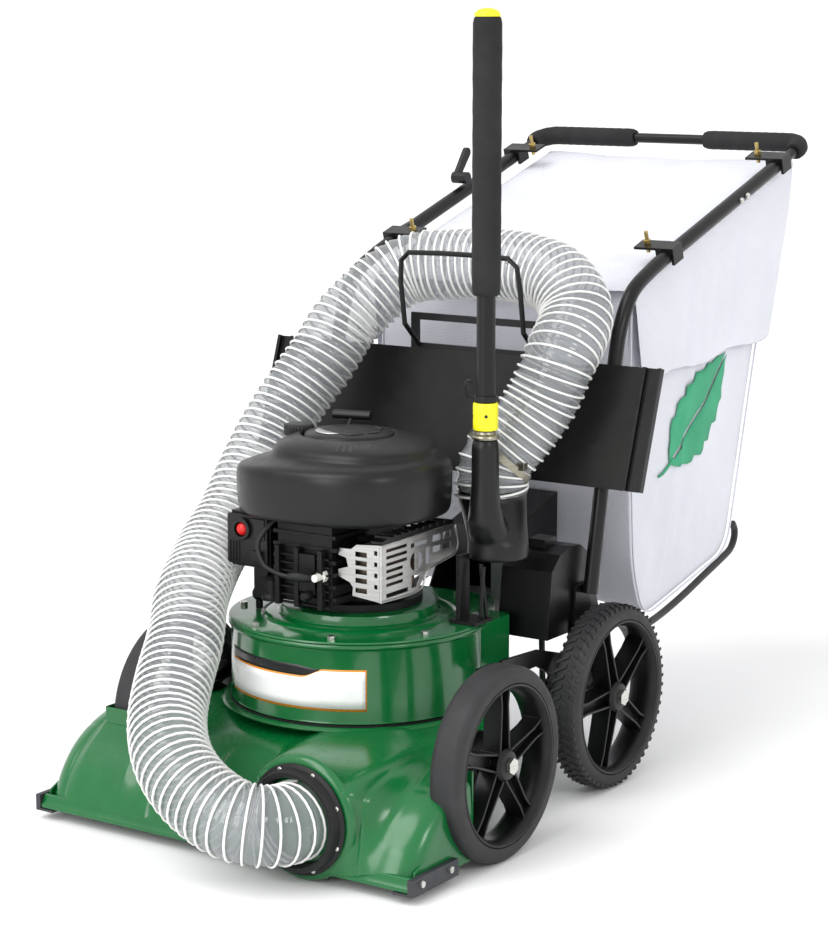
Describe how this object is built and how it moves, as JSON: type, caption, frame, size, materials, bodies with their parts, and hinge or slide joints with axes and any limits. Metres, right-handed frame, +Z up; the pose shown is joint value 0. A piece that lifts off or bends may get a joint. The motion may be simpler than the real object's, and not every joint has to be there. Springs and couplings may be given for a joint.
{
  "type": "leaf vacuum mulcher",
  "caption": "Walk-behind leaf vacuum mulcher with wide nozzle hood, round impeller housing, engine, debris bag, push handle, spoked wheels and clear hand hose.",
  "frame": {"origin": "on the ground, under the centre of the machine's plan box", "axes": "+Z up, +Y from the nozzle towards the operator's handle, +X to the side that carries the hand nozzle"},
  "size_m": [0.778, 1.5966, 1.285],
  "materials": {
    "green_moulding": "glossy moulded green",
    "green_paint": "glossy green enamel",
    "black_rubber": "matt black rubber",
    "skid_plastic": "scuffed dark grey",
    "zinc_steel": "zinc plated",
    "black_plastic": "satin moulded black",
    "engine_casting": "dark painted die casting",
    "muffler_steel": "heat stained steel",
    "guard_steel": "bright pressed steel",
    "plug_ceramic": "white ceramic",
    "black_paint": "satin black powder coat",
    "gearbox_casting": "bare casting",
    "chain_steel": "oiled steel",
    "brass_nut": "yellow zinc",
    "bag_fabric": "white woven bag cloth",
    "black_cord": "black braided cord",
    "clear_hose": "clear hose with a white helix",
    "clamp_steel": "dull steel band",
    "grip_foam": "matt foam",
    "yellow_plastic": "bright yellow",
    "rim_plastic": "satin black",
    "tyre": "grey-black rubber",
    "red_rubber": "red rubber"
  },
  "bodies": {
    "chassis": {"nozzle_hood": "green_moulding", "side_skids": "skid_plastic", "port_collar": "black_rubber", "vacuum_housing": "green_paint", "housing_gasket": "black_rubber", "housing_top": "green_paint", "housing_bolts": "zinc_steel", "discharge_chute": "black_paint", "crankcase": "engine_casting", "engine_shroud": "black_plastic", "recoil_cover": "black_plastic", "fuel_tank": "black_plastic", "air_filter_box": "black_plastic", "muffler": "muffler_steel", "muffler_guard": "guard_steel", "spark_plug": "plug_ceramic", "engine_cables": "black_rubber", "axle_brackets": "black_paint", "front_axle_bolts": "zinc_steel", "frame_rails": "black_paint", "chain_cover": "black_paint", "transmission": "gearbox_casting", "drive_chain": "chain_steel", "rear_panel": "black_paint", "hose_hoop": "black_paint", "handle_tubes": "black_paint", "handle_brackets": "black_paint", "bracket_bolts": "brass_nut", "wand_bracket": "black_paint", "bag_body": "bag_fabric", "bag_skirt": "bag_fabric", "bag_piping": "black_cord", "vacuum_hose": "clear_hose", "hose_clamp": "clamp_steel", "hand_nozzle": "black_plastic", "wand_tube": "black_paint", "wand_grip": "grip_foam", "wand_cap": "yellow_plastic", "wand_collar": "yellow_plastic", "cord_hook": "black_plastic", "clamp_screws": "zinc_steel"},
    "crank": {"crankshaft": "zinc_steel", "flywheel": "engine_casting", "impeller": "chain_steel"},
    "front_wheel_right": {"front_rim_right": "rim_plastic", "front_tyre_right": "tyre"},
    "front_wheel_left": {"front_rim_left": "rim_plastic", "front_tyre_left": "tyre"},
    "rear_wheels": {"rear_axle": "zinc_steel", "rear_rims": "rim_plastic", "rear_tyres": "tyre", "axle_sprocket": "chain_steel"},
    "gearbox_output": {"drive_sprocket": "chain_steel"},
    "lever": {"control_lever": "black_plastic"},
    "primer": {"primer_bulb": "red_rubber"},
    "cap": {"fuel_cap": "black_plastic"},
    "starter": {"recoil_handle": "black_plastic"},
    "upper_handle": {"handle_bar": "black_paint", "handle_grips": "grip_foam"},
    "knob": {"latch_knob": "black_plastic"}
  },
  "joints": [
    {"name": "crank_spin", "type": "hinge", "parent": "chassis", "child": "crank", "pos_m": [0, -0.26044, 0.3], "axis": [0, 0, 1], "continuous": true},
    {"name": "front_right_spin", "type": "hinge", "parent": "chassis", "child": "front_wheel_right", "pos_m": [0.352, -0.39744, 0.1525], "axis": [1, 0, 0], "continuous": true},
    {"name": "front_left_spin", "type": "hinge", "parent": "chassis", "child": "front_wheel_left", "pos_m": [-0.262, -0.39744, 0.1525], "axis": [1, 0, 0], "continuous": true},
    {"name": "rear_axle_spin", "type": "hinge", "parent": "chassis", "child": "rear_wheels", "pos_m": [0, 0.02256, 0.156], "axis": [1, 0, 0], "continuous": true},
    {"name": "gearbox_spin", "type": "hinge", "parent": "chassis", "child": "gearbox_output", "pos_m": [0.216, -0.01244, 0.345], "axis": [1, 0, 0], "continuous": true},
    {"name": "lever_turn", "type": "hinge", "parent": "chassis", "child": "lever", "pos_m": [-0.282, 0.47456, 0.972], "axis": [1, 0, 0], "range_deg": [0, 55]},
    {"name": "primer_press", "type": "slide", "parent": "chassis", "child": "primer", "axis": [0, 1, 0], "range_m": [0, 0.008], "stiffness_N_per_m": 400},
    {"name": "fuel_cap_turn", "type": "hinge", "parent": "chassis", "child": "cap", "pos_m": [-0.104, -0.28144, 0.61], "axis": [0, 0, 1], "range_deg": [0, 120]},
    {"name": "starter_pull", "type": "slide", "parent": "chassis", "child": "starter", "axis": [0, 0.26, 0.9656], "range_m": [0, 0.5], "stiffness_N_per_m": 20, "springref_m": -0.05},
    {"name": "handle_extend", "type": "slide", "parent": "chassis", "child": "upper_handle", "axis": [0, 0.9522, 0.3055], "range_m": [0, 0.06]},
    {"name": "latch_knob_turn", "type": "hinge", "parent": "chassis", "child": "knob", "pos_m": [-0.146, -0.33744, 0.33], "axis": [0, 0, 1], "range_deg": [0, 90]}
  ],
  "couplings": [
    {"joint": "gearbox_spin", "follows": "rear_axle_spin", "ratio": 2}
  ]
}
